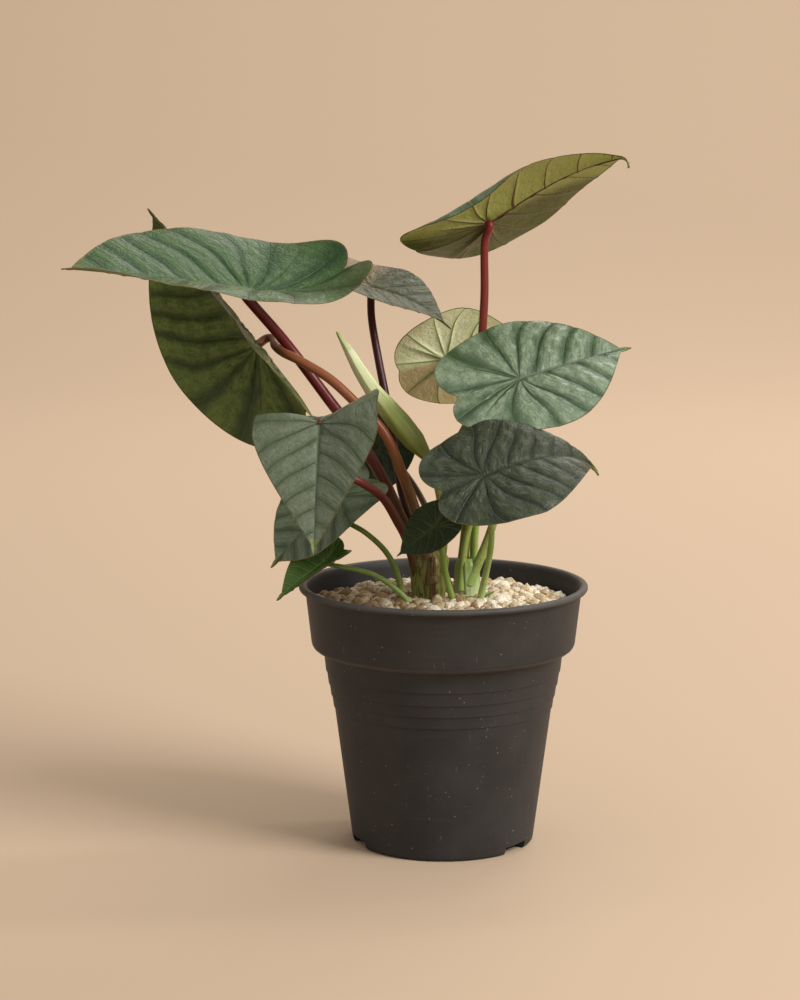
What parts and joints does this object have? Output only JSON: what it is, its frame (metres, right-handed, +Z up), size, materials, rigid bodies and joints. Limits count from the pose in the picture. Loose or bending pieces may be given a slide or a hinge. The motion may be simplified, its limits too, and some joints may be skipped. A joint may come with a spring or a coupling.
{
  "type": "potted alocasia",
  "caption": "Alocasia in a round tapered nursery pot: peltate arrow-shaped blades on long petioles rising from two crowns set in pale gravel over potting mix.",
  "frame": {"origin": "centre of the pot's flat base panel, on the surface it stands on", "axes": "+Z up along the pot's axis, -Y towards the front that the picture shows, +X to the right seen from the front"},
  "size_m": [0.2301, 0.1415, 0.2863],
  "materials": {
    "pot_plastic": "matte, lightly scuffed and dusty",
    "potting_mix": "coarse damp bark and coir, rough",
    "gravel": "pale porous pumice granules, matte",
    "dry_sheath": "dry papery brown leaf base",
    "main_crown": "green-brown fleshy stem base, satin",
    "offset_crown": "pale green fleshy sheath, satin",
    "young_green": "fresh green, satin",
    "rolled_leaf": "pale yellow-green, satin",
    "blade_silver": "silvery grey-green above with dark veins, yellow-green below, satin",
    "blade_dark": "dark green above, olive below, satin",
    "blade_young": "bright green, satin",
    "petiole_red": "dark red, satin",
    "petiole_purple": "dark purple, satin",
    "petiole_bronze": "brownish orange, satin",
    "petiole_green": "pale green, satin"
  },
  "bodies": {
    "root": {"back_left_blade": "blade_dark", "back_left_petiole": "petiole_purple", "back_right_blade": "blade_young", "back_right_petiole": "petiole_green", "dry_sheath": "dry_sheath", "front_left_blade": "blade_silver", "front_left_petiole": "petiole_red", "gravel_dressing": "gravel", "hanging_left_blade": "blade_dark", "hanging_left_petiole": "petiole_bronze", "left_sprout": "young_green", "lower_left_blade": "blade_silver", "lower_left_petiole": "petiole_green", "lower_right_blade": "blade_silver", "lower_right_petiole": "petiole_green", "main_crown": "main_crown", "offset_crown": "offset_crown", "pot": "pot_plastic", "potting_mix": "potting_mix", "right_blade": "blade_silver", "right_petiole": "petiole_bronze", "right_sprout": "young_green", "rolled_blade": "rolled_leaf", "rolled_petiole": "petiole_green", "round_middle_blade": "blade_silver", "round_middle_petiole": "petiole_green", "small_front_blade": "blade_dark", "small_front_petiole": "petiole_green", "small_left_blade": "blade_young", "small_left_petiole": "petiole_green", "upper_left_blade": "blade_silver", "upper_left_petiole": "petiole_red", "upper_middle_blade": "blade_silver", "upper_middle_petiole": "petiole_purple", "upper_right_blade": "blade_silver", "upper_right_petiole": "petiole_red"}
  },
  "joints": []
}
